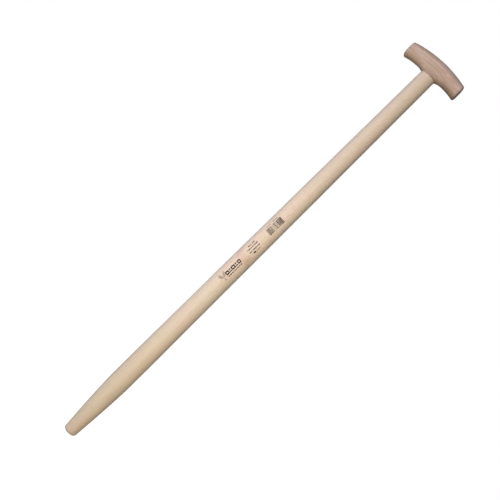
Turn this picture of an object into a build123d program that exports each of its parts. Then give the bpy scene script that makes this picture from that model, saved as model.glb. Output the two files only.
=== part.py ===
"""T-grip garden tool shaft: a long ash shaft with a blunt tapered foot and a wedged beech T-grip.

Millimetres. +Z runs up the shaft and the origin is the centre of the foot's flat end face.
The grip lies along X. The front of the shaft is -Y.
"""

from build123d import *

import os
from math import sqrt

# Shaft
overall_length = 850.0  # foot to the top of the grip's crown
foot_radius = 11.3  # where the taper would meet the end face, before its edge is rounded
foot_rounding = 5.0
taper_length = 112.0  # the tapered foot, which goes into the socket of a tool head
taper_bulge = 0.6  # how far the taper swells past a straight cone, halfway up
band_radius = 18.0  # the parallel band above the taper
band_length = 53.0
neck_radius = 14.1  # the shaft at its square shoulder, where it meets the grip

# Wedged joint between shaft and grip
tenon_radius = 9.5
glue_gap = 0.12  # thickness of the glue film, round the tenon and on the shoulder
wedge_top = 3.4  # thickness of the wedge at the crown
wedge_tip = 1.6  # thickness at its tip, which is also the width of the saw kerf
wedge_length = 26.0
kerf_below_wedge = 4.0  # open kerf left under the wedge's tip

# Grip
grip_length = 110.0
grip_height = 30.0  # underside to crown, at the middle
crown_arc_radius = 223.0
underside_level = 26.0  # how far out from the middle the underside stays level
underside_arc_radius = 95.0  # then it droops on this arc
middle_half_depth = 15.0
end_half_depth = 13.4
crown_rounding = 11.0
underside_rounding = 9.5
end_rounding = 3.2
collar_drop = 3.6  # how far the collar reaches down from the underside to the shoulder
collar_spread = 9.0  # how far the collar flares out along the grip where it meets the bar
collar_hollowness = 2.3  # power of the flare's curve: 1 is a straight cone
collar_fullness = 0.7  # how far the collar swells front and back
collar_root = 11.0  # how far the collar's oval runs on up inside the bar

# Worked out from the sizes above
band_end_z = taper_length + band_length
underside_z = overall_length - grip_height
shoulder_z = underside_z - collar_drop
boss_z = shoulder_z + glue_gap
bore_radius = tenon_radius + glue_gap
half_grip = grip_length / 2
collar_height = underside_z - boss_z
cutting_top_z = overall_length + 10  # cutting shapes run past the crown to here
wedge_tip_z = overall_length - wedge_length
kerf_floor_z = wedge_tip_z - kerf_below_wedge


def crown_at(x):
    """Height of the grip's crown line at x."""
    return overall_length - crown_arc_radius + sqrt(crown_arc_radius**2 - x**2)


def underside_at(x):
    """Height of the bar's lowest line at x: level over the collar, then drooping to the ends."""
    past_level = max(abs(x) - underside_level, 0)
    return underside_z - underside_arc_radius + sqrt(underside_arc_radius**2 - past_level**2)


def half_depth_at(x):
    """Half the bar's depth, front to back, at x."""
    return middle_half_depth - (middle_half_depth - end_half_depth) * (x / half_grip) ** 2


def collar_radii_at(rise):
    """The collar's half width and half depth when it has risen by a share of its height."""
    half_width = neck_radius + collar_spread * rise**collar_hollowness
    half_depth = neck_radius + collar_fullness * rise
    return half_width, half_depth


def wedge_half_width_at(z):
    """Half the wedge's thickness at a height, from its tip up past the crown."""
    return (wedge_tip + (wedge_top - wedge_tip) * (z - wedge_tip_z) / wedge_length) / 2


# The grip's outer form, before it is bored: a bowed bar lofted through rounded sections, with a
# collar underneath that flares from the shaft's round neck to an oval rooted inside the bar.
bar_stations = [-half_grip, -46, -36, -26, -13, 0, 13, 26, 36, 46, half_grip]
collar_rises = [0, 0.3, 0.55, 0.75, 0.9, 1, 1.08]

with BuildPart() as grip_form:
    for station in bar_stations:
        low = underside_at(station)
        high = crown_at(station)
        with BuildSketch(Plane.YZ.offset(station)):
            with Locations((0, (low + high) / 2)):
                Rectangle(2 * half_depth_at(station), high - low)
            corners = vertices().group_by(Axis.Z)
            fillet(corners[-1], crown_rounding)
            fillet(corners[0], underside_rounding)
    loft()
    bar_ends = faces().filter_by(Axis.X).sort_by(Axis.X)
    fillet(bar_ends[0].edges() + bar_ends[-1].edges(), end_rounding)
    for rise in collar_rises:
        with BuildSketch(Plane.XY.offset(boss_z + rise * collar_height)):
            Ellipse(*collar_radii_at(rise))
    loft()
    with BuildSketch(Plane.XY.offset(boss_z + collar_rises[-1] * collar_height)):
        Ellipse(*collar_radii_at(collar_rises[-1]))
    extrude(amount=collar_root)

# The grip: the outer form with the tenon's bore through it.
with BuildPart() as t_grip:
    add(grip_form.part)
    with BuildSketch(Plane.XY.offset(boss_z)):
        Circle(bore_radius)
    extrude(amount=cutting_top_z - boss_z, mode=Mode.SUBTRACT)

# The saw kerf down the middle of the tenon: parallel below the wedge's tip, then as the wedge
# spreads it.
with BuildPart() as kerf:
    with BuildSketch(Plane.XZ):
        with BuildLine():
            right_side = Polyline(
                (0, kerf_floor_z),
                (wedge_tip / 2, kerf_floor_z),
                (wedge_tip / 2, wedge_tip_z),
                (wedge_half_width_at(cutting_top_z), cutting_top_z),
                (0, cutting_top_z),
            )
            mirror(right_side, about=Plane.YZ)
        make_face()
    extrude(amount=2 * tenon_radius, both=True)

# The shaft: turned in one piece, with a tenon that passes up through the grip and is trimmed
# flush with its crown.
with BuildPart() as shaft:
    with BuildSketch(Plane.XY.offset(shoulder_z)):
        Circle(tenon_radius)
    extrude(amount=cutting_top_z - shoulder_z)
    add(grip_form.part, mode=Mode.INTERSECT)
    add(kerf.part, mode=Mode.SUBTRACT)
    with BuildSketch(Plane.XZ):
        with BuildLine():
            end_face = Line((0, 0), (foot_radius, 0))
            taper = SagittaArc(end_face @ 1, (band_radius, taper_length), -taper_bulge)
            Polyline(
                taper @ 1,
                (band_radius, band_end_z),
                (neck_radius, shoulder_z),
                (tenon_radius, shoulder_z),
                (tenon_radius, boss_z),
                (0, boss_z),
                (0, 0),
            )
        make_face()
        foot_corner = vertices().sort_by_distance((foot_radius, 0, 0))[0]
        fillet(foot_corner, foot_rounding)
    revolve(axis=Axis.Z)

# The wedge, driven down the kerf and trimmed with the tenon. It lies across the grip's grain.
with BuildPart() as tenon_wedge:
    with BuildSketch(Plane.XY.offset(wedge_tip_z)):
        Circle(tenon_radius)
    extrude(amount=cutting_top_z - wedge_tip_z)
    add(grip_form.part, mode=Mode.INTERSECT)
    add(kerf.part, mode=Mode.INTERSECT)

# The glue: a film round the tenon and on the shoulder, trimmed flush with the crown.
with BuildPart() as glue_film:
    with BuildSketch(Plane.XY.offset(boss_z)):
        Circle(bore_radius)
    extrude(amount=cutting_top_z - boss_z)
    add(grip_form.part, mode=Mode.INTERSECT)
    with BuildSketch(Plane.XY.offset(shoulder_z)):
        Circle(neck_radius)
    extrude(amount=glue_gap)
    with BuildSketch(Plane.XY.offset(shoulder_z)):
        Circle(tenon_radius)
    extrude(amount=cutting_top_z - shoulder_z, mode=Mode.SUBTRACT)

os.makedirs("parts", exist_ok=True)

shaft.part.label = "shaft"
export_step(shaft.part, "parts/shaft.step")

t_grip.part.label = "t_grip"
export_step(t_grip.part, "parts/t_grip.step")

tenon_wedge.part.label = "tenon_wedge"
export_step(tenon_wedge.part, "parts/tenon_wedge.step")

glue_film.part.label = "glue_film"
export_step(glue_film.part, "parts/glue_film.step")
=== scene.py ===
"""A T-grip garden tool shaft: bare ash shaft, steamed beech grip, wedge, glue line, printed marks.

Lengths are in millimetres and become metres when a mesh is made. Places come from the frame.
"Along" the printing means up the shaft, and "across" means round it, to the right of the front.
"""

import math
from contextlib import contextmanager

import bmesh
import bpy
import numpy as np
from mathutils import Matrix, Vector
from mathutils.bvhtree import BVHTree


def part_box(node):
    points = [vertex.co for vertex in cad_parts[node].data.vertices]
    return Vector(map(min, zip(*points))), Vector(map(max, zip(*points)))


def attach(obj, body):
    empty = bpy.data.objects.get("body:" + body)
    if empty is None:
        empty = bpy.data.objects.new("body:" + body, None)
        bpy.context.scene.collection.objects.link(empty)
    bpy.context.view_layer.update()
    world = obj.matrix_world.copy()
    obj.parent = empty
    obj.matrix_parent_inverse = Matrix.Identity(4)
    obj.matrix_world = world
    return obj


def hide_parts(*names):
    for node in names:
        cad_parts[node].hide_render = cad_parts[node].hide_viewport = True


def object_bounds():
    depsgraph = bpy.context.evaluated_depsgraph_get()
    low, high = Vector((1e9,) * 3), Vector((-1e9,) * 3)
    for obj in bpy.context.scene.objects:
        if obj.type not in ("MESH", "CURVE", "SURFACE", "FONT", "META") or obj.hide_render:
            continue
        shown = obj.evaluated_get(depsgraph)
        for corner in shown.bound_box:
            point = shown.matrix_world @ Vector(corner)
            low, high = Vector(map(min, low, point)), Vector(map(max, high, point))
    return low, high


MM = 0.001

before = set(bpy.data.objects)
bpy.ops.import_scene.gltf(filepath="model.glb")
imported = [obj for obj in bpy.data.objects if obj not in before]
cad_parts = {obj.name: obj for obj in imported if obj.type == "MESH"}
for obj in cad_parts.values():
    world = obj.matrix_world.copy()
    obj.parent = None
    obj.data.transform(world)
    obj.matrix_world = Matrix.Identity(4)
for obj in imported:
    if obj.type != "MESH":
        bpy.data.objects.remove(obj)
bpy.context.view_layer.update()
scene = bpy.context.scene


# Places, from the frame


def box_mm(node):
    """A CAD node's lowest and highest corners."""
    low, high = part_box(node)
    return np.array(low) / MM, np.array(high) / MM


glue_low, glue_high = box_mm("glue_film")
grip_low, grip_high = box_mm("t_grip")
wedge_low, wedge_high = box_mm("tenon_wedge")

neck_radius = glue_high[0]
shoulder_z = glue_low[2]
boss_z = grip_low[2]
crown_z = wedge_high[2]
tenon_radius = wedge_high[1]
bore_radius = tenon_radius + boss_z - shoulder_z
wedge_tip_z = wedge_low[2]
wedge_half_top = wedge_high[0]

# Sizes that only the looks need
segments = 96  # round the shaft
segment_angles = np.arange(segments) * 2 * np.pi / segments
sharp_angle = 35  # edges that turn by more degrees than this stay sharp
sharp_ink_angle = 60
ring_step = 2.5  # between the shaft's rings
foot_step = 0.5  # between rings on the foot's rounded edge
foot_edge_height = 7.0
shoulder_break = 0.28  # the sanded-off corner at the shaft's shoulder
glue_setback = 0.22  # how far the glue line lies below the wood on each side
bead_unevenness = 0.07
bead_rounding = 0.3  # how far in from the bead's face its corners start
bead_edge = 0.03  # and how far up or down they reach
grip_voxel = 0.65
grip_spare = 8.0  # how far the grip's form reaches below the boss before it is cut off there
neck_overlap = 0.4  # how far the shapes that are added to the form reach into it
plug_overlap = 1.0
plug_setback = 0.05  # below the crown
overrun = 6.0  # how far a cutting shape reaches past what it cuts
kerf_floor_drop = 4.0  # open kerf under the wedge's tip
wedge_half_tip = 0.8
pole_radius = 0.3  # the innermost ring of a turned cap
sliver = 0.01  # anything thinner that a boolean leaves is merged
collar_height = 3.5  # from the boss to the underside of the grip's bar
underside_level = 26.0  # how far out from the middle the underside stays level
underside_arc_radius = 95.0  # then it droops on this arc
print_turn = math.radians(9.0)  # the printing's middle, turned from the front towards +X


# Meshes


def make_object(name, points, faces, keep_sharp=sharp_angle):
    """A smooth-shaded mesh object from points in millimetres."""
    mesh = bpy.data.meshes.new(name)
    mesh.from_pydata((np.asarray(points, float) * MM).tolist(), [], faces)
    mesh.validate()
    made = bpy.data.objects.new(name, mesh)
    scene.collection.objects.link(made)
    shade(made, keep_sharp)
    return made


@contextmanager
def opened(made):
    """An object's mesh, opened for editing."""
    work = bmesh.new()
    work.from_mesh(made.data)
    yield work
    work.to_mesh(made.data)
    work.free()


def shade(made, keep_sharp=sharp_angle):
    """Smooth shading except at edges that turn by more than keep_sharp degrees, and faces that all
    point outwards."""
    with opened(made) as work:
        bmesh.ops.recalc_face_normals(work, faces=work.faces)
    made.data.shade_smooth()
    made.data.set_sharp_from_angle(angle=math.radians(keep_sharp))
    made.data.update()


def mesh_arrays(made):
    """An object's points in millimetres and its faces."""
    points = np.array([vertex.co for vertex in made.data.vertices]) / MM
    faces = [tuple(polygon.vertices) for polygon in made.data.polygons]
    return points, faces


def apply_modifiers(made):
    """Replaces an object's mesh with what its modifiers make of it."""
    graph = bpy.context.evaluated_depsgraph_get()
    mesh = bpy.data.meshes.new_from_object(made.evaluated_get(graph))
    made.modifiers.clear()
    made.data = mesh


def cut(made, operation, tool):
    """An exact boolean of made with tool, which is used up. Slivers that it leaves are merged."""
    modifier = made.modifiers.new("cut", "BOOLEAN")
    modifier.operation = operation
    modifier.object = tool
    modifier.solver = "EXACT"
    apply_modifiers(made)
    bpy.data.objects.remove(tool)
    with opened(made) as work:
        bmesh.ops.triangulate(work, faces=work.faces)
        bmesh.ops.dissolve_degenerate(work, edges=work.edges, dist=sliver * MM)


def turned(radius, angle):
    """The x and y of a radius and an angle, which is from the front, towards +X."""
    return radius * np.sin(angle), -radius * np.cos(angle)


def lathe(rings, loop=False):
    """Points and faces of a turned form. Each ring is (radius, height), each a number or one value
    for each segment. Without loop, the first and last rings are closed at their middle."""
    points = []
    for radius, height in rings:
        ring = np.empty((segments, 3))
        ring[:, 0], ring[:, 1] = turned(radius, segment_angles)
        ring[:, 2] = height
        points.append(ring)
    count = len(points)
    points = np.concatenate(points)
    faces = []
    for ring in range(count if loop else count - 1):
        below = ring * segments
        above = (ring + 1) % count * segments
        for i in range(segments):
            j = (i + 1) % segments
            faces.append((below + i, below + j, above + j, above + i))
    if not loop:
        for end in (0, count - 1):
            first = end * segments
            middle = points[first : first + segments].mean(axis=0)
            points = np.vstack([points, middle])
            for i in range(segments):
                faces.append((first + i, first + (i + 1) % segments, len(points) - 1))
    return points, faces


def joined(*parts):
    """Several (points, faces) pairs as one."""
    all_points = []
    all_faces = []
    start = 0
    for points, faces in parts:
        all_points.append(points)
        all_faces += [tuple(start + corner for corner in face) for face in faces]
        start += len(points)
    return np.concatenate(all_points), all_faces


def top_of(tree, x, y):
    """The height of the highest surface in a BVH tree over each x, y."""
    above = crown_z + 20
    down = Vector((0, 0, -1))
    hits = [tree.ray_cast(Vector((*place, above)), down) for place in zip(x, y)]
    return np.array([hit[0].z for hit in hits])


def cap_rings(tree, radius):
    """Rings from a radius in to the middle that follow the crown in a BVH tree."""
    insets = np.linspace(radius, pole_radius, 13)
    return [(inset, top_of(tree, *turned(inset, segment_angles))) for inset in insets]


def capped_plug(tree, radius, foot):
    """A round plug with a flat foot, whose top follows the crown in a BVH tree."""
    return [(share * radius, foot) for share in (0.02, 0.5, 1)] + cap_rings(tree, radius)


def cylinder(radius, foot, top):
    """Points and faces of a plain round bar."""
    near_middle = 0.02 * radius
    return lathe([(near_middle, foot), (radius, foot), (radius, top), (near_middle, top)])


def smoothed(points, edges, weight, rounds):
    """The points after rounds of moving each one towards the mean of its neighbours."""
    first, second = edges.T
    total = len(points)
    neighbours = np.bincount(edges.ravel(), minlength=total)[:, None]
    for _ in range(rounds):
        sums = [
            np.bincount(first, points[second, axis], total)
            + np.bincount(second, points[first, axis], total)
            for axis in range(3)
        ]
        points = points + weight[:, None] * (np.stack(sums, axis=1) / neighbours - points)
    return points


def evened(points, edges, rounds):
    """The points smoothed a little, without shrinking the form."""
    everywhere = np.ones(len(points))
    for _ in range(rounds):
        points = smoothed(points, edges, 0.50 * everywhere, 1)
        points = smoothed(points, edges, -0.52 * everywhere, 1)
    return points


def eased(value, start, end):
    """0 before start, 1 after end, and a smooth step between them."""
    share = np.clip((value - start) / (end - start), 0, 1)
    return share * share * (3 - 2 * share)


# The shaft's outline


def turned_profile(node, top):
    """Heights and radii of a turned CAD node's outline, up to a height."""
    points, _ = mesh_arrays(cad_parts[node])
    radii = np.hypot(points[:, 0], points[:, 1])
    heights = np.round(points[:, 2], 2)
    levels = np.unique(heights[heights <= top + 0.01])
    return levels, np.array([radii[heights == level].max() for level in levels])


profile_heights, profile_radii = turned_profile("shaft", shoulder_z)


def hand_of_the_sander(height, angle):
    """How far sanding left the shaft from truly round: up to a tenth of a millimetre, and nothing
    at the foot's end and at the neck."""
    long_wave = 0.055 * np.sin(height / 19 + 1.3) * np.cos(2 * angle + 0.4)
    short_wave = 0.035 * np.sin(height / 7.3 + 2 * angle) * np.cos(3 * angle + height / 60)
    return (long_wave + short_wave) * eased(height, 4, 30) * (1 - eased(height, 780, 806))


def shaft_radius(height, angle):
    """The shaft's radius; angle is from the front, towards +X."""
    return np.interp(height, profile_heights, profile_radii) + hand_of_the_sander(height, angle)


def build_shaft(crown_tree):
    """The turned shaft: foot, taper, band, shoulder and the tenon with its sawn kerf."""
    foot_flat = profile_radii[0]
    rings = [(foot_flat * share, 0.0) for share in (0.04, 0.2, 0.4, 0.6, 0.8, 0.95, 1)]
    heights = [0.07, 0.27, *np.arange(foot_step, foot_edge_height, foot_step)]
    heights += [*np.arange(foot_edge_height, shoulder_z - ring_step, ring_step)]
    heights += [shoulder_z - 1.2, shoulder_z - 0.6]
    rings += [(shaft_radius(height, segment_angles), height) for height in heights]
    rings.append((neck_radius - shoulder_break * 0.3, shoulder_z - shoulder_break * 0.7))
    rings.append((neck_radius - shoulder_break, shoulder_z))
    rings.append(((neck_radius + tenon_radius) / 2, shoulder_z))
    rings.append((tenon_radius, shoulder_z))
    rings += [(tenon_radius, height) for height in np.linspace(shoulder_z + 4, crown_z - 6, 7)]
    rings += cap_rings(crown_tree, tenon_radius)
    shaft = make_object("shaft_wood", *lathe(rings))
    cut(shaft, "DIFFERENCE", kerf_tool())
    shade(shaft)
    return shaft


def kerf_tool():
    """A prism across the tenon: parallel below the wedge's tip, then spread as the wedge is."""
    floor = wedge_tip_z - kerf_floor_drop
    top = crown_z + overrun
    spread = (wedge_half_top - wedge_half_tip) / (crown_z - wedge_tip_z)
    half_top = wedge_half_tip + spread * (top - wedge_tip_z)
    side = [(wedge_half_tip, floor), (wedge_half_tip, wedge_tip_z), (half_top, top)]
    outline = side + [(-x, z) for x, z in reversed(side)]
    reach = tenon_radius * 1.6
    points = [(x, y, z) for y in (-reach, reach) for x, z in outline]
    count = len(outline)
    faces = [tuple(range(count)), tuple(range(2 * count - 1, count - 1, -1))]
    for i in range(count):
        j = (i + 1) % count
        faces.append((i, i + count, j + count, j))
    return make_object("kerf_tool", points, faces)


# The grip


def cad_crown():
    """A BVH tree of everything that shows at the crown of the CAD model."""
    points, faces = joined(*[mesh_arrays(node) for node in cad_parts.values()])
    return BVHTree.FromPolygons(points.tolist(), faces)


def remeshed_grip(crown):
    """The CAD grip with its bore plugged and its boss run on downwards, remeshed evenly."""
    foot = boss_z - grip_spare
    neck = cylinder(neck_radius, foot, boss_z + neck_overlap)
    rings = capped_plug(crown, bore_radius + plug_overlap, foot)
    plug = lathe([(radius, np.asarray(height) - plug_setback) for radius, height in rings])
    grip = mesh_arrays(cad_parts["t_grip"])
    form = make_object("grip_form", *joined(grip, neck, plug))
    remesh = form.modifiers.new("even", "REMESH")
    remesh.mode = "VOXEL"
    remesh.voxel_size = grip_voxel * MM
    apply_modifiers(form)
    return form


def smoothed_grip(points, edges):
    """The remeshed grip's points smoothed, most of all where the collar joins the bar."""
    points = evened(points, edges, 12)
    x, y, z = points.T
    beside_collar = 1 - eased(np.abs(x), 22, 32)
    below_middle = 1 - eased(z, boss_z + 11, boss_z + 17)
    off_the_boss = eased(z, boss_z + 0.4, boss_z + 2.0)
    points = smoothed(points, edges, 0.5 * beside_collar * below_middle * off_the_boss, 26)
    return evened(points, edges, 6)


def crown_put_back(points, crown):
    """The points with the crown over the bore back at the CAD's height."""
    x, y, z = points.T
    near_bore = 1 - eased(np.hypot(x, y), bore_radius + 3, bore_radius + 7)
    on_top = 1 - eased(np.abs(y), 10.5, 12.5)
    share = near_bore * on_top
    over_bore = np.flatnonzero((share > 0) & (z > crown_z - 8))
    exact = top_of(crown, x[over_bore], y[over_bore])
    points[over_bore, 2] += share[over_bore] * (exact - z[over_bore])
    return points


def cut_off_below(form, height):
    """Cuts an object off square below a height, and closes it there."""
    level, up = (0, 0, height * MM), (0, 0, 1)
    with opened(form) as work:
        everything = work.verts[:] + work.edges[:] + work.faces[:]
        bmesh.ops.bisect_plane(work, geom=everything, plane_co=level, plane_no=up, clear_inner=True)
        rim = [edge for edge in work.edges if edge.is_boundary]
        bmesh.ops.holes_fill(work, edges=rim, sides=0)


def grip_form():
    """The grip's smooth outer form, unbored and cut off square at the boss."""
    crown = cad_crown()
    form = remeshed_grip(crown)
    points, _ = mesh_arrays(form)
    edges = np.array([edge.vertices[:] for edge in form.data.edges])
    points = crown_put_back(smoothed_grip(points, edges), crown)
    points += hand_shaping(points)
    form.data.vertices.foreach_set("co", (points * MM).astype(np.float32).ravel())
    form.data.update()
    cut_off_below(form, boss_z)
    shade(form)
    return form


def hand_shaping(points):
    """Small swells left by shaping and sanding the grip by hand."""
    x, y, z = points.T
    middle = (grip_low[2] + grip_high[2]) / 2
    outward = np.stack([np.zeros_like(x), y, z - middle], axis=1)
    outward /= np.maximum(np.linalg.norm(outward, axis=1), 1)[:, None]
    swell = 0.05 * np.sin(x / 8.5 + y / 14 + 0.6) * np.cos(z / 9 - x / 23)
    swell += 0.03 * np.sin(x / 4.1 - z / 5.2 + 1.9) * np.sin(y / 4.6 + 0.3)
    swell *= eased(z, boss_z + 1, boss_z + 4)
    return outward * swell[:, None]


def build_grip(form):
    """The grip: the form with the tenon's bore through it."""
    grip = make_object("t_grip_wood", *mesh_arrays(form))
    bore = cylinder(bore_radius, boss_z - overrun, crown_z + overrun)
    cut(grip, "DIFFERENCE", make_object("bore_tool", *bore))
    shade(grip)
    return grip


def build_wedge(crown_tree):
    """The wedge: a plug the size of the tenon, cut down to the kerf."""
    plug = lathe(capped_plug(crown_tree, tenon_radius, wedge_tip_z))
    wedge = make_object("wedge_wood", *plug)
    cut(wedge, "INTERSECT", kerf_tool())
    shade(wedge)
    return wedge


def build_glue(crown_tree):
    """The glue: a thin film round the tenon and on the shoulder, with an uneven bead at the seam."""
    wave = np.sin(5 * segment_angles) * np.sin(3 * segment_angles + 1)
    bead = neck_radius - glue_setback + bead_unevenness * wave
    below_crown = crown_z - 12
    rings = [
        (tenon_radius, shoulder_z),
        (bead - bead_rounding, shoulder_z),
        (bead, shoulder_z + bead_edge),
        (bead, boss_z - bead_edge),
        (bead - bead_rounding, boss_z),
        (bore_radius, boss_z),
        (bore_radius, below_crown),
        (bore_radius, top_of(crown_tree, *turned(bore_radius, segment_angles))),
        (tenon_radius, top_of(crown_tree, *turned(tenon_radius, segment_angles))),
        (tenon_radius, below_crown),
    ]
    return make_object("glue_line", *lathe(rings, loop=True))


# The printing: thin closed sheets of ink that follow the shaft's surface

ink_step = 0.7  # between the points of a sheet of ink
ink_proud = 0.035  # how far ink stands above the wood
ink_sunk = 0.02  # how far it reaches into it
end_width = 0.8  # a stroke's width at its very ends, as a share of its full width
end_length = 0.08  # how far from its end a stroke has its full width, as a share of that width


def ink_sheet(grid, ring=False):
    """Points and faces of a thin sheet of ink. grid holds rows of (along, across) places. In a ring,
    the last row joins the first."""
    rows, columns = grid.shape[:2]
    along, across = grid.reshape(-1, 2).T
    angle = print_turn + across / np.interp(along, profile_heights, profile_radii)
    wood_radius = shaft_radius(along, angle)
    outer, inner = wood_radius + ink_proud, wood_radius - ink_sunk
    layers = [np.stack([*turned(radius, angle), along], axis=1) for radius in (outer, inner)]
    size = len(along)
    faces = []
    for i in range(rows if ring else rows - 1):
        below = i * columns
        above = (i + 1) % rows * columns
        for j in range(columns - 1):
            quad = (below + j, below + j + 1, above + j + 1, above + j)
            faces.append(quad)
            faces.append(tuple(size + k for k in reversed(quad)))
    first = [i * columns for i in range(rows)]
    last = [i * columns + columns - 1 for i in range(rows)]
    if ring:
        rims = [first + first[:1], last + last[:1]]
    else:
        round_it = list(range(columns - 1)) + last[:-1]
        round_it += list(range(size - 1, size - columns, -1)) + first[:0:-1]
        rims = [round_it + round_it[:1]]
    for rim in rims:
        for a, b in zip(rim, rim[1:]):
            faces.append((a, a + size, b + size, b))
    return np.concatenate(layers), faces


def shares_of(length):
    """Evenly spaced shares from 0 to 1, for a sheet of ink of a given length."""
    return np.linspace(0, 1, max(3, int(np.ceil(length / ink_step)) + 1))


def strip(line, widths):
    """A strip of ink. line holds the (along, across) places of its middle, and widths its width at
    each of them."""
    step = np.gradient(line, axis=0)
    step /= np.linalg.norm(step, axis=1)[:, None]
    sideways = np.stack([-step[:, 1], step[:, 0]], axis=1)
    offsets = widths[:, None] * (shares_of(widths.max()) - 0.5)
    return ink_sheet(line[:, None] + sideways[:, None] * offsets[:, :, None])


def stroke(start, end, width):
    """A straight strip of even width between two (along, across) places, with slightly rounded ends."""
    start, end = np.array(start, float), np.array(end, float)
    length = np.linalg.norm(end - start)
    share = shares_of(length)
    if length > 2 * ink_step:
        rounding = end_length * width / length
        share = np.sort(np.append(share, [rounding, 1 - rounding]))
    to_end = np.minimum(share, 1 - share) * length / width
    widths = width * np.interp(to_end, (0, end_length), (end_width, 1))
    return strip(start + (end - start) * share[:, None], widths)


def bar(along, across, length, width):
    """A stroke that runs up the shaft."""
    return stroke((along, across), (along + length, across), width)


def box(start, end, low, high, width):
    """A closed rectangle of line, from its middle line's ends along the shaft and across it."""
    grid = []
    offsets = width * (shares_of(width) - 0.5)
    corners = np.array([(start, low), (end, low), (end, high), (start, high)], float)
    outward = np.array([(-1, -1), (1, -1), (1, 1), (-1, 1)])
    for k in range(4):
        side = corners[(k + 1) % 4] - corners[k]
        turn = outward[(k + 1) % 4] - outward[k]
        for share in shares_of(np.linalg.norm(side) + width)[:-1]:
            middle = corners[k] + side * share
            grid.append(middle + (outward[k] + turn * share) * offsets[:, None])
    return ink_sheet(np.array(grid), ring=True)


def leaf(base, tip, bend, width):
    """A leaf-shaped strip from base to tip, bowed sideways by bend."""
    share = np.linspace(0, 1, 18)[:, None]
    base, tip = np.array(base, float), np.array(tip, float)
    sideways = np.array([base[1] - tip[1], tip[0] - base[0]]) / np.linalg.norm(tip - base)
    line = base + (tip - base) * share + sideways * bend * np.sin(np.pi * share)
    widths = 0.25 + width * np.sin(np.pi * share[:, 0] ** 0.85)
    return strip(line, widths)


def word(random, along, across, length, height):
    """A greeked word: a run of short dashes that stand for letters without being any."""
    strips = []
    end = along + length
    while along < end - 0.4:
        dash = min(random.uniform(0.5, 0.9) * height, end - along)
        strips.append(bar(along, across, dash, height * random.uniform(0.8, 1.0)))
        along += dash + 0.25 * height
    return strips


def line_of_words(random, along, across, length, height):
    """Greeked words of random length, one after another."""
    strips = []
    end = along + length
    while along < end - 3:
        piece = min(random.uniform(4.5, 9.0), end - along)
        strips += word(random, along, across, piece, height)
        along += piece + 0.8
    return strips


# Where the printing is and how big, in millimetres up the shaft and across it
emblem_along = 349.8
emblem_length = 10.4
stem_foot = 4.8
leaf_base = -0.6
title_along = 360.8
title_across = -2.7
title_height = 6.4
title_stroke = 2.0
title_boxes = ((1.0, 5.6), (13.4, 19.2), (27.0, 31.4))  # from the title's start to each one's ends
title_bars = (7.6, 21.2)
title_bar_length = 3.6
subtitle_across = 3.2
subtitle_length = 31.5
subtitle_stroke = 1.8
subtitle_gap = 1.2
text_along = 410.8
text_rows = (-9.0, -4.6, 0.4, 5.0)
barcode_along = 455.2
barcode_across = -2.0
barcode_height = 11.8
barcode_module = 0.33
barcode_parts = ((10.5, 2, 1), (14.8, 1, 3), (18.0, 2, 1), (21.6, 1, 2), (32.0, 4, 1))
tick_across = -10.7
tick_rows = ((4.0, 12.0), (18.2, 28.8))  # from the barcode's start
tick_spacing = 1.9
tick_length = 1.0
tick_width = 1.9


def emblem():
    """A plain sprout: two leaves on a stem. Its foot points across the shaft, to the right."""
    middle = emblem_along + emblem_length / 2
    left_tip = (emblem_along - 0.2, -10.6)
    right_tip = (emblem_along + 10.5, -10.8)
    return [
        stroke((middle, stem_foot), (middle, 0.1), width=2.2),
        leaf((middle - 0.2, leaf_base), left_tip, bend=-1.0, width=5.2),
        leaf((middle + 0.2, leaf_base), right_tip, bend=1.2, width=4.8),
    ]


def title():
    """A row of plain figures where a name would be: box, bars, box, bars, box."""
    half = (title_height - title_stroke) / 2
    low, high = title_across - half, title_across + half
    strips = []
    for start, end in title_boxes:
        strips.append(box(title_along + start, title_along + end, low, high, title_stroke))
    for start in title_bars:
        for side in (-0.8, 0.8):
            across = title_across + side * half
            strips.append(bar(title_along + start, across, title_bar_length, title_stroke))
    return strips


def small_print(random):
    """The line under the title, then four short rows with a dot in the last, all greeked."""
    strips = []
    at = title_along + 0.3
    while at < title_along + subtitle_length:
        length = random.uniform(1.8, 3.4)
        strips.append(bar(at, subtitle_across, length, subtitle_stroke))
        at += length + subtitle_gap
    first, second, third, fourth = text_rows
    strips += word(random, text_along + 5.8, first, length=6.6, height=2.2)
    strips += word(random, text_along + 14.2, first, length=6.2, height=2.2)
    strips += line_of_words(random, text_along, second, length=26.5, height=2.2)
    strips += line_of_words(random, text_along + 0.8, third, length=25.2, height=2.4)
    strips.append(bar(text_along + 5.6, fourth, length=4.2, width=2.6))
    strips += word(random, text_along + 11.4, fourth, length=9.6, height=1.2)
    return strips


def barcode(random):
    """A ladder of bars of random width, which holds no number, and two short rows of ticks. Each of
    barcode_parts is where that part ends, and its thickest bar and widest gap counted in modules."""
    strips = []
    along = barcode_along
    low, high = barcode_across - barcode_height / 2, barcode_across + barcode_height / 2
    for end, thickest, widest in barcode_parts:
        while along < barcode_along + end:
            width = barcode_module * random.integers(1, thickest + 1)
            middle = along + width / 2
            strips.append(stroke((middle, low), (middle, high), width))
            along += width + barcode_module * random.integers((widest + 1) // 2, widest + 1)
    for start, end in tick_rows:
        at = barcode_along + start
        while at < barcode_along + end:
            strips.append(bar(at, tick_across, tick_length, tick_width))
            at += tick_spacing
    return strips


# Materials


def srgb(red, green, blue):
    """A colour given as 0 to 255 on screen, as the linear colour that nodes take."""
    shares = [value / 255 for value in (red, green, blue)]
    linear = [share / 12.92 if share < 0.04 else ((share + 0.055) / 1.055) ** 2.4 for share in shares]
    return (*linear, 1.0)


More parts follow.
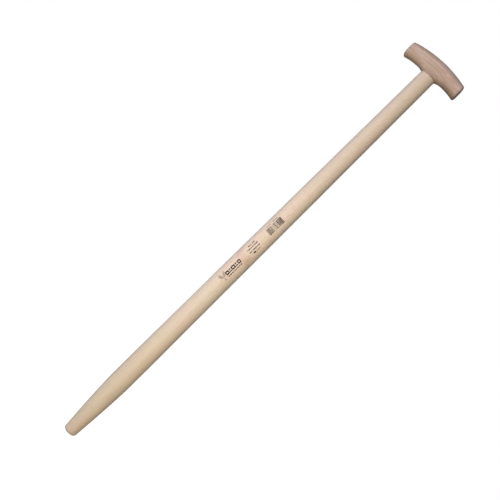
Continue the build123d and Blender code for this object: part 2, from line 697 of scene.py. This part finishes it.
# The shaft's own marks: their colours, and their heights above the foot
blush_z = 382.0
blush_wander = 36.0  # how much higher the blush's middle may lie
rose_reach = (480.0, 600.0)  # from where the rose starts to where it is full
tan_reach = (320.0, 120.0)
blush_pink = srgb(222, 182, 168)
blush_tan = srgb(194, 158, 120)
upper_rose = srgb(218, 186, 166)
foot_tan = srgb(198, 170, 132)
resin = srgb(214, 176, 116)

# Colours of the grip's marks. All but crown_pink are darker tones for painted shade; the gold is partly
# the wood's own colour too.
crown_pink = srgb(204, 172, 160)
lower_shade_brown = srgb(172, 140, 118)
lower_gold_and_shade = srgb(156, 126, 92)
underside_shade_brown = srgb(112, 92, 72)
collar_shade = srgb(128, 98, 76)

dry_shine = 0.35
rim_shade_grey = srgb(100, 90, 88)  # painted shade on wood seen nearly edge-on
wood_under_ink = srgb(206, 184, 158)
glue_amber = srgb(150, 104, 58)
glue_dark = srgb(112, 76, 44)


class Nodes:
    """A node tree, built with one short call for each node."""

    def __init__(self, tree):
        self.tree = tree

    def node(self, kind, *values, **settings):
        """A new node with its settings, and its first inputs fed with values."""
        made = self.tree.nodes.new(kind)
        for key, value in settings.items():
            setattr(made, key, value)
        for socket, value in zip(made.inputs, values):
            self.feed(socket, value)
        return made

    def feed(self, socket, value):
        """Links a socket's value, or sets a plain one."""
        if isinstance(value, bpy.types.NodeSocket):
            self.tree.links.new(value, socket)
        else:
            socket.default_value = value

    def fill(self, node, values):
        """Feeds some of a node's inputs, by name."""
        for name, value in values.items():
            self.feed(node.inputs[name], value)

    def math(self, operation, *values):
        return self.node("ShaderNodeMath", *values, operation=operation).outputs[0]

    def product(self, first, *others):
        for other in others:
            first = self.math("MULTIPLY", first, other)
        return first

    def vector(self, operation, *values, scale=None):
        made = self.node("ShaderNodeVectorMath", *values, operation=operation)
        if scale is not None:
            self.feed(made.inputs["Scale"], scale)
        return made.outputs["Value" if operation in ("LENGTH", "DOT_PRODUCT") else "Vector"]

    def parts(self, vector):
        return self.node("ShaderNodeSeparateXYZ", vector).outputs

    def combined(self, x, y, z):
        return self.node("ShaderNodeCombineXYZ", x, y, z).outputs[0]


class Shader(Nodes):
    """A new material's nodes. Its place is in millimetres."""

    def __init__(self, name):
        self.material = bpy.data.materials.new(name)
        self.material.use_nodes = True
        super().__init__(self.material.node_tree)
        self.surface = self.tree.nodes["Principled BSDF"]
        metres = self.node("ShaderNodeTexCoord").outputs["Object"]
        self.place = self.vector("SCALE", metres, scale=1 / MM)

    def noise(self, place, stretch, detail=2.0, rough=0.5):
        """Noise from 0 to 1, with stretch in cycles per millimetre on each axis."""
        place = self.vector("MULTIPLY", place, stretch)
        node = self.node("ShaderNodeTexNoise")
        self.fill(node, {"Vector": place, "Scale": 1.0, "Detail": detail, "Roughness": rough})
        return node.outputs["Fac"]

    def eased(self, value, start, end):
        """0 at start and 1 at end, with a smooth step between them; start may be above end."""
        step = self.node("ShaderNodeMapRange", value, start, end, interpolation_type="SMOOTHSTEP")
        return step.outputs[0]

    def mix(self, share, first, second):
        """The first colour at share 0, and the second at share 1."""
        node = self.node("ShaderNodeMix", data_type="RGBA")
        for key, value in (("Factor_Float", share), ("A_Color", first), ("B_Color", second)):
            self.feed(socket_called(node.inputs, key), value)
        return socket_called(node.outputs, "Result_Color")

    def stained(self, colour, stain, share, strength):
        """A colour with another over it: none at share 0, and by strength at share 1."""
        return self.mix(self.math("MULTIPLY", share, strength), colour, stain)

    def bump(self, height):
        """The normal for a height in millimetres."""
        node = self.node("ShaderNodeBump")
        self.fill(node, {"Strength": 1.0, "Distance": MM, "Height": height})
        return node.outputs[0]

    def finish(self, colour, roughness, height):
        """Feeds the surface, and returns the finished material."""
        self.fill(self.surface, {"Base Color": colour, "Roughness": roughness})
        self.fill(self.surface, {"Normal": self.bump(height), "Specular IOR Level": dry_shine})
        return self.material


def socket_called(sockets, identifier):
    """A socket by its identifier, as a mix node has several of the same name."""
    return next(socket for socket in sockets if socket.identifier == identifier)


class Timber:
    """What makes one wood look unlike another. Lengths are in millimetres. Each wood also has four
    colours: late wood, early (spring) wood, pore, and the tint of cloudy patches."""

    along = 2  # the axis that the grain runs along: 0 for x, 2 for z
    pith = (70.0, 40.0)  # the tree's middle, across the grain
    lean = 0.012  # how far the middle drifts for each millimetre along the grain
    ring = 2.6  # width of a year's growth
    ring_wander = 5.0
    waviness = 0.0  # how far the whole grain swings up and down
    ring_strength = 0.6
    end_ring_strength = 0.2  # added to ring_strength on end grain
    fibre_strength = 0.10
    streak_strength = 0.10
    pore_across = 2.6  # pores in each millimetre across the grain
    pore_along = 0.11  # and along it
    pore_start = 0.60  # lower makes more pores
    pore_everywhere = 0.15  # share of the pores that also lie outside the spring wood
    pore_strength = 0.55
    pore_depth = 0.05
    fleck_strength = 0.0  # dark flecks on side grain, with pale rays on end grain
    gold_strength = 0.0  # broad streaks of the colour gold that run with the grain
    line_strength = 0.0  # thin ones of the colour line
    end_shade = 0.80  # end grain's brightness, as a share of side grain's
    end_rim = 1.0  # share of the painted shade on rims seen edge-on that end grain keeps
    roughness = 0.62


class Ash(Timber):
    ring_strength = 0.40
    fibre_strength = 0.07
    streak_strength = 0.06
    end_shade = 0.88
    end_rim = 0.0
    late = srgb(228, 208, 182)
    early = srgb(206, 178, 146)
    pore = srgb(150, 118, 84)
    tint = srgb(232, 201, 180)


class Beech(Timber):
    along = 0
    pith = (-38.0, 905.0)
    lean = 0.03
    ring = 2.1
    ring_wander = 3.0
    waviness = 7.0
    ring_strength = 0.45
    end_ring_strength = 0.5
    fibre_strength = 0.12
    streak_strength = 0.20
    pore_across = 4.5
    pore_along = 0.30
    pore_start = 0.62
    pore_everywhere = 0.8
    pore_strength = 0.30
    pore_depth = 0.015
    fleck_strength = 0.40
    gold_strength = 0.75
    line_strength = 0.45
    roughness = 0.6
    late = srgb(217, 188, 172)
    early = srgb(190, 158, 140)
    pore = srgb(120, 86, 66)
    tint = srgb(206, 170, 158)
    gold = srgb(190, 156, 120)
    line = srgb(150, 118, 96)


class WedgeWood(Beech):
    along = 2
    pith = (25.0, 60.0)
    late = srgb(176, 140, 108)
    early = srgb(150, 112, 82)
    tint = srgb(160, 120, 92)


class Grain:
    """Where the shaded point lies in the wood: its place along and across the grain, how far it is
    from the tree's middle, in what part of a year's ring, and whether it is on end grain."""

    def __init__(self, shader, look):
        self.shader = shader
        x, y, z = shader.parts(shader.place)
        across_a, across_b, self.along = (x, y, z) if look.along == 2 else (y, z, x)
        if look.waviness:
            straight = shader.combined(across_a, across_b, self.along)
            bend = shader.noise(straight, (0.012, 0.012, 0.022), 1.0)
            across_b = shader.math("MULTIPLY_ADD", bend, look.waviness, across_b)
        self.place = shader.combined(across_a, across_b, self.along)
        self.find_middle(across_a, across_b, look)
        self.find_year(look)
        self.find_end_grain(look)

    def noise(self, across, along, detail=2.0, rough=0.5):
        """Noise from 0 to 1, in cycles per millimetre across and along the grain."""
        return self.shader.noise(self.place, (across, across, along), detail, rough)

    def find_middle(self, across_a, across_b, look):
        """The distance and the angle from the tree's middle."""
        shader = self.shader
        drift = shader.math("MULTIPLY", self.along, look.lean)
        away_a = shader.math("SUBTRACT", shader.math("SUBTRACT", across_a, look.pith[0]), drift)
        away_b = shader.math("SUBTRACT", across_b, look.pith[1])
        radius = shader.vector("LENGTH", shader.combined(away_a, away_b, 0.0))
        wander = self.noise(across=0.03, along=0.005)
        self.radius = shader.math("MULTIPLY_ADD", wander, look.ring_wander, radius)
        self.angle = shader.math("ARCTAN2", away_b, away_a)

    def find_year(self, look):
        """Whether the point is in spring wood, and how strongly that year's spring wood shows."""
        shader = self.shader
        year = shader.math("DIVIDE", self.radius, look.ring)
        phase = shader.math("FRACT", year)
        self.spring = shader.product(shader.eased(phase, 0.0, 0.06), shader.eased(phase, 0.60, 0.12))
        luck = shader.noise(shader.combined(shader.math("FLOOR", year), 0.0, 0.0), (0.71, 1, 1), 0.0)
        self.early_share = shader.product(self.spring, shader.eased(luck, 0.25, 0.75))

    def find_end_grain(self, look):
        """How much the surface faces along the grain."""
        shader = self.shader
        axis = (0, 0, 1) if look.along == 2 else (1, 0, 0)
        normal = shader.node("ShaderNodeTexCoord").outputs["Normal"]
        facing = shader.math("ABSOLUTE", shader.vector("DOT_PRODUCT", normal, axis))
        self.end = shader.eased(facing, 0.70, 0.97)
        self.side = shader.math("SUBTRACT", 1.0, self.end)


def ringed(shader, look, grain):
    """The wood's first colour: late and spring wood in turn, with cloudy patches of the tint."""
    strength = shader.math("MULTIPLY_ADD", grain.end, look.end_ring_strength, look.ring_strength)
    colour = shader.mix(shader.product(grain.early_share, strength), look.late, look.early)
    cloud = shader.eased(grain.noise(across=0.045, along=0.013, detail=3.0), 0.42, 0.60)
    return shader.stained(colour, look.tint, cloud, strength=0.6)


def pores(shader, look, grain):
    """The share of a pore at the point, most of all in spring wood."""
    holes = grain.noise(look.pore_across, look.pore_along, detail=1.0)
    zone = shader.math("MAXIMUM", grain.spring, look.pore_everywhere)
    return shader.product(shader.eased(holes, look.pore_start, look.pore_start + 0.1), zone)


def flecked(shader, look, grain, colour):
    """Short dark flecks on side grain, and pale rays from the tree's middle on end grain."""
    flecks = shader.noise(grain.place, (2.6, 1.6, 0.30), 1.0)
    fleck = shader.product(shader.eased(flecks, 0.63, 0.70), grain.side)
    colour = shader.stained(colour, look.pore, fleck, look.fleck_strength)
    around = shader.combined(grain.angle, grain.radius, grain.along)
    rays = shader.noise(around, (80.0, 0.12, 0.02), 1.0)
    ray = shader.product(shader.eased(rays, 0.54, 0.62), grain.end)
    return shader.stained(colour, look.late, ray, strength=0.45)


def streaked(shader, look, grain, colour):
    """Broad streaks in patches, and thin darker lines, both on side grain only."""
    streaks = shader.eased(grain.noise(across=0.34, along=0.012, detail=3.0, rough=0.7), 0.46, 0.58)
    patches = shader.eased(grain.noise(across=0.05, along=0.014, detail=1.0), 0.40, 0.56)
    streak = shader.product(streaks, patches, grain.side)
    colour = shader.stained(colour, look.gold, streak, look.gold_strength)
    lines = shader.eased(grain.noise(across=0.75, along=0.016), 0.57, 0.66)
    return shader.stained(colour, look.line, shader.product(lines, grain.side), look.line_strength)


def lightness(shader, look, grain, fibre):
    """How light the wood is: fibres and broad streaks vary it, and end grain is darker."""
    light = shader.math("MULTIPLY_ADD", fibre, look.fibre_strength * 2, 1 - look.fibre_strength)
    streak = grain.noise(across=0.20, along=0.0055)
    light = shader.math("SUBTRACT", light, look.streak_strength)
    light = shader.math("MULTIPLY_ADD", streak, look.streak_strength * 2, light)
    return shader.product(light, shader.math("MULTIPLY_ADD", grain.end, look.end_shade - 1, 1.0))


def rim_shaded(shader, look, grain, colour):
    """The colour, greyer where the surface is seen nearly edge-on: painted shade on the rims."""
    facing_away = shader.node("ShaderNodeLayerWeight").outputs["Facing"]
    kept = shader.math("MULTIPLY_ADD", grain.end, look.end_rim - 1, 1.0)
    rim = shader.product(shader.eased(facing_away, 0.64, 0.96), kept)
    return shader.stained(colour, rim_shade_grey, rim, strength=0.6)


def wood(name, look, local_marks=None):
    """Bare sanded wood, worked out in three dimensions, so that end grain follows from side grain.
    local_marks can change its colour before light and dark are added."""
    shader = Shader(name)
    grain = Grain(shader, look)
    pore = pores(shader, look, grain)
    fibre = grain.noise(across=1.5, along=0.03, detail=3.0, rough=0.6)
    colour = ringed(shader, look, grain)
    colour = shader.stained(colour, look.pore, pore, look.pore_strength)
    if look.fleck_strength:
        colour = flecked(shader, look, grain, colour)
    if look.gold_strength:
        colour = streaked(shader, look, grain, colour)
    if local_marks:
        colour = local_marks(shader, colour, *shader.parts(shader.place))
    colour = shader.vector("SCALE", colour, scale=lightness(shader, look, grain, fibre))
    # Painted shade on the rims, where the surface is seen nearly edge-on.
    colour = rim_shaded(shader, look, grain, colour)
    roughness = shader.math("MULTIPLY_ADD", pore, 0.2, look.roughness)
    height = shader.math("MULTIPLY", pore, -look.pore_depth)
    height = shader.math("MULTIPLY_ADD", fibre, 0.012, height)
    return shader.finish(colour, roughness, height)


def ash_marks(shader, colour, x, y, z):
    """The shaft's own marks: a blush beside the printing, pink on its left and tan on its right, then
    a rosier upper half, a browner foot, and a few resin-yellow specks."""
    wobble = shader.noise(shader.place, (0.06, 0.06, 0.02))
    middle_of_blush = shader.math("MULTIPLY_ADD", wobble, blush_wander, blush_z)
    off = shader.math("ABSOLUTE", shader.math("SUBTRACT", z, middle_of_blush))
    in_front = shader.eased(y, -4.0, -11.0)
    blush = shader.product(shader.eased(off, 16.0, 2.0), shader.eased(wobble, 0.35, 0.6), in_front)
    blush_colour = shader.mix(shader.eased(x, -4.0, 5.0), blush_pink, blush_tan)
    colour = shader.stained(colour, blush_colour, blush, strength=0.75)
    colour = shader.stained(colour, upper_rose, shader.eased(z, *rose_reach), strength=0.35)
    colour = shader.stained(colour, foot_tan, shader.eased(z, *tan_reach), strength=0.24)
    specks = shader.eased(shader.noise(shader.place, (0.16, 0.16, 0.07), 1.0), 0.70, 0.78)
    return shader.stained(colour, resin, specks, strength=0.25)


def beech_marks(shader, colour, x, y, z):
    """The grip's marks: pinker along the crown; browner in its lower half and golden towards its ends,
    partly painted shade and partly the wood's own colour; painted shade along the underside of the
    ends, and at the collar."""
    out = shader.math("ABSOLUTE", x)
    crown = shader.eased(z, crown_z - 16.0, crown_z - 5.0)
    colour = shader.stained(colour, crown_pink, crown, strength=0.4)

    # Browner lower half, golden towards the ends: partly painted shade where the bar curves away
    # underneath, partly the wood's own colour.
    bands = shader.noise(shader.combined(y, z, x), (0.20, 0.30, 0.020), 3.0)
    level = shader.math("MULTIPLY_ADD", bands, 18.0, z)
    brown = shader.mix(shader.eased(out, 22.0, 42.0), lower_shade_brown, lower_gold_and_shade)
    lower_half = shader.eased(level, crown_z - 9.0, crown_z - 19.0)
    colour = shader.stained(colour, brown, lower_half, strength=0.5)

    # Painted shade along the underside of the ends, stronger towards the right.
    past_level = shader.math("MAXIMUM", shader.math("SUBTRACT", out, underside_level), 0.0)
    droop = shader.math("POWER", past_level, 2.0)
    above_level = shader.math("SUBTRACT", z, boss_z + collar_height)
    above_underside = shader.math("MULTIPLY_ADD", droop, 1 / (2 * underside_arc_radius), above_level)
    low = shader.eased(above_underside, 9.0, -1.0)
    to_the_right = shader.eased(x, -70.0, 40.0)
    under = shader.product(low, to_the_right, shader.eased(out, 12.0, 30.0))
    colour = shader.stained(colour, underside_shade_brown, under, strength=0.5)

    # Painted shade at the collar, darkest at the boss.
    collar = shader.eased(z, boss_z + 6.0, boss_z)
    return shader.stained(colour, collar_shade, collar, strength=0.35)


def glue():
    """Hardened wood glue: amber, slightly glossy, uneven."""
    shader = Shader("wood_glue")
    cloud = shader.noise(shader.place, (0.5, 0.5, 0.5), 3.0)
    colour = shader.mix(shader.eased(cloud, 0.35, 0.65), glue_amber, glue_dark)
    return shader.finish(colour, 0.38, shader.math("MULTIPLY", cloud, 0.05))


def ink(name, colour, wear):
    """Matt ink on bare wood: it thins along the grain, and specks of wood show through."""
    shader = Shader(name)
    thin = shader.noise(shader.place, (1.0, 1.0, 0.12), 3.0)
    specks = shader.noise(shader.place, (3.2, 3.2, 1.1), 2.0)
    worn = shader.math("MULTIPLY", shader.eased(thin, 0.42, 0.70), wear)
    worn = shader.math("MAXIMUM", worn, shader.eased(specks, 0.66, 0.72))
    mixed = shader.mix(worn, colour, wood_under_ink)
    return shader.finish(mixed, 0.62, shader.math("MULTIPLY", specks, 0.01))


# The object


def settle(piece, material, slot, *nodes):
    """Finishes a piece: its material, its body and the CAD nodes it stands for. slot is not used."""
    piece.data.materials.append(material)
    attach(piece, "root")
    if nodes:
        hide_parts(*nodes)


def print_piece(name, strips, material):
    """One piece of printing, from its strips of ink."""
    settle(make_object(name, *joined(*strips), keep_sharp=sharp_ink_angle), material, "print_ink")


def build_wood_and_glue():
    """The shaft, the grip, the wedge and the glue, all trimmed to the grip's crown."""
    form = grip_form()
    points, faces = mesh_arrays(form)
    crown_tree = BVHTree.FromPolygons(points.tolist(), faces)
    settle(build_shaft(crown_tree), wood("bare_ash", Ash, ash_marks), "ash", "shaft")
    settle(build_grip(form), wood("steamed_beech", Beech, beech_marks), "beech", "t_grip")
    bpy.data.objects.remove(form)
    settle(build_wedge(crown_tree), wood("wedge_wood", WedgeWood), "wedge_wood", "tenon_wedge")
    settle(build_glue(crown_tree), glue(), "wood_glue", "glue_film")


def build_printing():
    """The printing on the front of the shaft."""
    black = ink("black_ink", srgb(32, 24, 20), wear=0.1)
    grey = ink("grey_ink", srgb(172, 152, 136), wear=0.3)
    faded = ink("faded_black_ink", srgb(60, 50, 44), wear=0.25)
    print_piece("ink_emblem", emblem(), grey)
    print_piece("ink_title", title(), black)
    print_piece("ink_small_print", small_print(np.random.default_rng(7)), faded)
    print_piece("ink_barcode", barcode(np.random.default_rng(4)), faded)


# The studio. Lengths here are in metres.


camera_turn = print_turn  # straight at the printing
camera_distance = 1.30
view_width = 0.8099  # what the picture spans at the shaft
aim_height = 0.4153
aim_aside = -0.0032
shaft_slope = math.radians(44.67)  # the shaft above the picture's horizontal
sensor = 36.0

lamp_size = 0.55
sun_angle = math.radians(20)
white = (1.0, 1.0, 1.0, 1.0)
sky_colour = (0.88, 0.94, 1.0, 1.0)
dim_sky = 0.05
bright_sky = 0.32
bright_side = -25.0  # the azimuth of the brightest sky
bright_rise = 45.0  # and its elevation
floor_reach = 6.0
floor_grey = (0.3, 0.3, 0.3, 1.0)
floor_glow = 0.9


def direction_from(azimuth, elevation):
    """Towards a place seen from the object: azimuth 0 is the front and 90 is +X."""
    a, e = math.radians(azimuth), math.radians(elevation)
    return Vector((math.sin(a) * math.cos(e), -math.cos(a) * math.cos(e), math.sin(e)))


def add_camera():
    """Square to the shaft, a little to the +X side, rolled so that the shaft runs up to the right."""
    aside = Vector((math.cos(camera_turn), math.sin(camera_turn), 0))
    back = Vector((math.sin(camera_turn), -math.cos(camera_turn), 0))
    up_shaft = Vector((0, 0, 1))
    right = up_shaft * math.cos(shaft_slope) + aside * math.sin(shaft_slope)
    up = up_shaft * math.sin(shaft_slope) - aside * math.cos(shaft_slope)
    camera = bpy.data.objects.new("camera", bpy.data.cameras.new("camera"))
    scene.collection.objects.link(camera)
    camera.matrix_world = Matrix((right, up, back)).transposed().to_4x4()
    camera.location = aside * aim_aside + up_shaft * aim_height + back * camera_distance
    camera.data.sensor_width = sensor
    camera.data.lens = sensor * camera_distance / view_width
    camera.data.clip_start = 0.01
    scene.camera = camera


def add_lamp(name, kind, azimuth, elevation, energy, colour):
    """A lamp that shines at the object from an azimuth and elevation."""
    lamp = bpy.data.lights.new(name, kind)
    lamp.energy = energy
    lamp.color = colour
    made = bpy.data.objects.new(name, lamp)
    made.rotation_mode = "QUATERNION"
    made.rotation_quaternion = direction_from(azimuth, elevation).to_track_quat("Z", "Y")
    scene.collection.objects.link(made)
    return made


def add_softbox(name, azimuth, distance, height, energy, colour):
    """A square lamp, level with a height on the shaft, that the camera can't see."""
    softbox = add_lamp(name, "AREA", azimuth, 0.0, energy, colour)
    softbox.data.size = lamp_size
    softbox.visible_camera = False
    softbox.location = direction_from(azimuth, 0.0) * distance + Vector((0, 0, height))


def add_sun(name, azimuth, elevation, energy, colour):
    """A soft-edged light from far away."""
    sun = add_lamp(name, "SUN", azimuth, elevation, energy, colour)
    sun.data.angle = sun_angle
    return sun


def add_lamps():
    """A softbox in front, a weak warm fill on the right, a weak cool light from the left, and a light
    from behind, for views from there, that leaves no gloss."""
    add_softbox("softbox", -13.0, distance=1.0, height=0.45, energy=7.5, colour=(0.99, 0.985, 0.97))
    add_softbox("fill", 45.0, distance=0.8, height=0.03, energy=1.8, colour=(1.0, 0.86, 0.56))
    add_sun("cool side", -72.0, 5.0, energy=0.75, colour=(0.40, 0.60, 1.0))
    behind = add_sun("behind", 165.0, 25.0, energy=2.5, colour=(1.0, 0.96, 0.89))
    behind.visible_glossy = False


def add_world():
    """White to the camera. As light it is a cool grey, brighter in front than behind."""
    world = bpy.data.worlds.new("studio")
    world.use_nodes = True
    scene.world = world
    nodes = Nodes(world.node_tree)
    nodes.tree.nodes.clear()
    direction = nodes.node("ShaderNodeTexCoord").outputs["Generated"]
    lean = nodes.vector("DOT_PRODUCT", direction, direction_from(bright_side, bright_rise))
    level = nodes.node("ShaderNodeMapRange", lean, -1.0, 1.0, dim_sky, bright_sky)
    soft = nodes.node("ShaderNodeBackground", sky_colour, level.outputs[0])
    plain = nodes.node("ShaderNodeBackground", white, 1.0)
    seen = nodes.node("ShaderNodeLightPath").outputs["Is Camera Ray"]
    both = nodes.node("ShaderNodeMixShader", seen, soft.outputs[0], plain.outputs[0])
    nodes.node("ShaderNodeOutputWorld", both.outputs[0])


def add_floor():
    """A grey floor under the foot that glows white to the camera, to meet the background unseen."""
    mesh = bpy.data.meshes.new("floor")
    corners = [(-1, -1), (1, -1), (1, 1), (-1, 1)]
    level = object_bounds()[0].z
    points = [(x * floor_reach, y * floor_reach, level) for x, y in corners]
    mesh.from_pydata(points, [], [(0, 1, 2, 3)])
    floor = bpy.data.objects.new("floor", mesh)
    scene.collection.objects.link(floor)
    shader = Shader("pale_floor")
    seen = shader.node("ShaderNodeLightPath").outputs["Is Camera Ray"]
    glow = shader.product(seen, floor_glow)
    shader.fill(shader.surface, {"Base Color": floor_grey, "Roughness": 0.9})
    shader.fill(shader.surface, {"Emission Color": white, "Emission Strength": glow})
    mesh.materials.append(shader.material)


build_wood_and_glue()
build_printing()
add_floor()
add_world()
add_lamps()
add_camera()
scene.view_settings.view_transform = "Standard"
